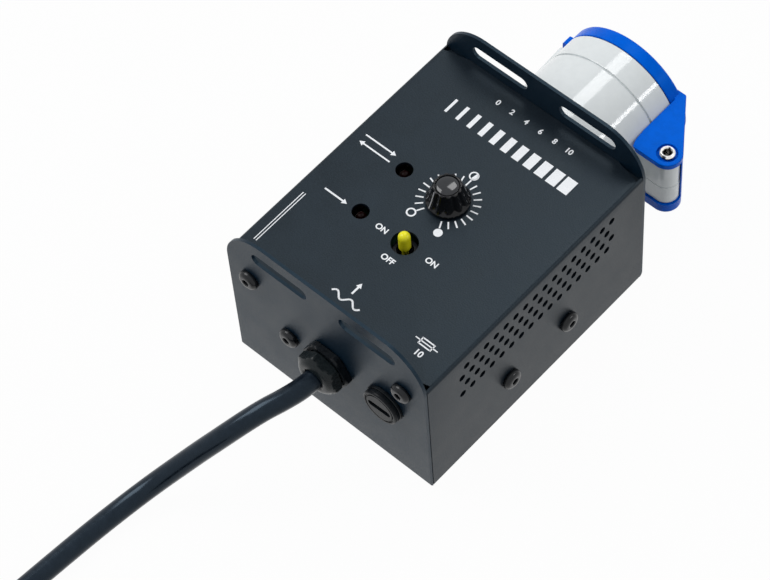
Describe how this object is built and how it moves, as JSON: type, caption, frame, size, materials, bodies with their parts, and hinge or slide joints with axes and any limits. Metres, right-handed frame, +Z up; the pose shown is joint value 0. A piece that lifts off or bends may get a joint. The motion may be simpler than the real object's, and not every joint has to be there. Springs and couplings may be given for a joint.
{
  "type": "portable lighting dimmer",
  "caption": "Portable stage lighting dimmer: folded steel box with slotted ears, level knob, three-way switch, fuse, gland with supply cable and a round lidded socket outlet.",
  "frame": {"origin": "middle of the box's underside, on its flat bottom plate", "axes": "+Z up, +Y from the cable end to the socket end, +X right as seen from the cable end"},
  "size_m": [0.1386, 0.4935, 0.092],
  "materials": {
    "black_paint": "fine-textured powder coat on steel sheet",
    "black_steel": "blackened screws",
    "bright_steel": "zinc-plated or bright steel",
    "aluminium": "plain extruded or turned aluminium",
    "brass": "plain turned brass",
    "black_nylon": "moulded black nylon",
    "black_rubber": "smooth black rubber",
    "knob_black": "glossy moulded black",
    "cap_grey": "satin grey cap",
    "lever_yellow": "moulded yellow",
    "lens_red": "dark red lens, unlit",
    "shell_grey": "glossy light grey",
    "lid_blue": "satin signal blue",
    "carrier_dark": "dark thermoset",
    "board_green": "green circuit board",
    "copper": "enamelled copper winding",
    "capacitor_yellow": "moulded yellow case",
    "fuse_white": "white ceramic tube",
    "wire_brown": "insulated core",
    "wire_blue": "insulated core",
    "wire_earth_green": "insulated core"
  },
  "bodies": {
    "box": {"chassis": "black_paint", "cover": "black_paint", "cover_screw_front_left": "black_steel", "cover_screw_front_right": "black_steel", "cover_screw_rear_left": "black_steel", "cover_screw_rear_right": "black_steel", "heat_sink_screw_front": "black_steel", "heat_sink_screw_rear": "black_steel", "earth_screw": "black_steel", "earth_nut": "bright_steel", "earth_terminal": "bright_steel", "potentiometer": "bright_steel", "potentiometer_nut": "bright_steel", "triac_screw": "bright_steel", "socket_screw_upper_left": "bright_steel", "socket_screw_upper_right": "bright_steel", "socket_screw_lower_left": "bright_steel", "socket_screw_lower_right": "bright_steel", "hinge_pin": "bright_steel", "lid_spring": "bright_steel", "heat_sink": "aluminium", "standoff_front": "brass", "standoff_rear": "brass", "contact_live": "brass", "contact_neutral": "brass", "contact_earth": "brass", "plug_pin_left": "brass", "plug_pin_right": "brass", "fuse_holder": "black_nylon", "fuse_holder_nut": "black_nylon", "gland_body": "black_nylon", "gland_nut": "black_nylon", "gland_locknut": "black_nylon", "switch_body": "black_nylon", "triac": "black_nylon", "supply_cable": "black_rubber", "cable_coil": "black_rubber", "plug_body": "black_rubber", "gland_seal": "black_rubber", "led_fault": "lens_red", "led_output": "lens_red", "socket_shell": "shell_grey", "terminal_block": "lid_blue", "contact_carrier": "carrier_dark", "control_board": "board_green", "power_board": "board_green", "suppression_choke": "copper", "suppression_capacitor": "capacitor_yellow", "wire_live": "wire_brown", "wire_neutral": "wire_blue", "wire_earth": "wire_earth_green"},
    "knob": {"knob": "knob_black", "knob_cap": "cap_grey", "potentiometer_shaft": "aluminium"},
    "switch_lever": {"switch_lever": "lever_yellow"},
    "fuse_link": {"fuse_link": "fuse_white"},
    "fuse_cap": {"fuse_cap": "black_nylon"},
    "socket_lid": {"socket_lid": "lid_blue", "lid_seal": "black_rubber"}
  },
  "joints": [
    {"name": "knob_turn", "type": "hinge", "parent": "box", "child": "knob", "pos_m": [0, 0.007, 0.074], "axis": [0, 0, 1], "range_deg": [-300, 0]},
    {"name": "switch_toggle", "type": "hinge", "parent": "box", "child": "switch_lever", "pos_m": [0, -0.0195, 0.0644], "axis": [0, 1, 0], "range_deg": [-12, 12]},
    {"name": "fuse_withdraw", "type": "slide", "parent": "box", "child": "fuse_link", "axis": [0, -1, 0], "range_m": [0, 0.036]},
    {"name": "fuse_cap_turn", "type": "hinge", "parent": "fuse_link", "child": "fuse_cap", "pos_m": [0.0311, -0.0675, 0.0452], "axis": [0, -1, 0], "range_deg": [0, 90]},
    {"name": "lid_hinge", "type": "hinge", "parent": "box", "child": "socket_lid", "pos_m": [0.0418, 0.0961, 0.0327], "axis": [0, 0, 1], "range_deg": [-110, 0], "stiffness_Nm_per_rad": 0.03, "springref_deg": 17.19}
  ]
}
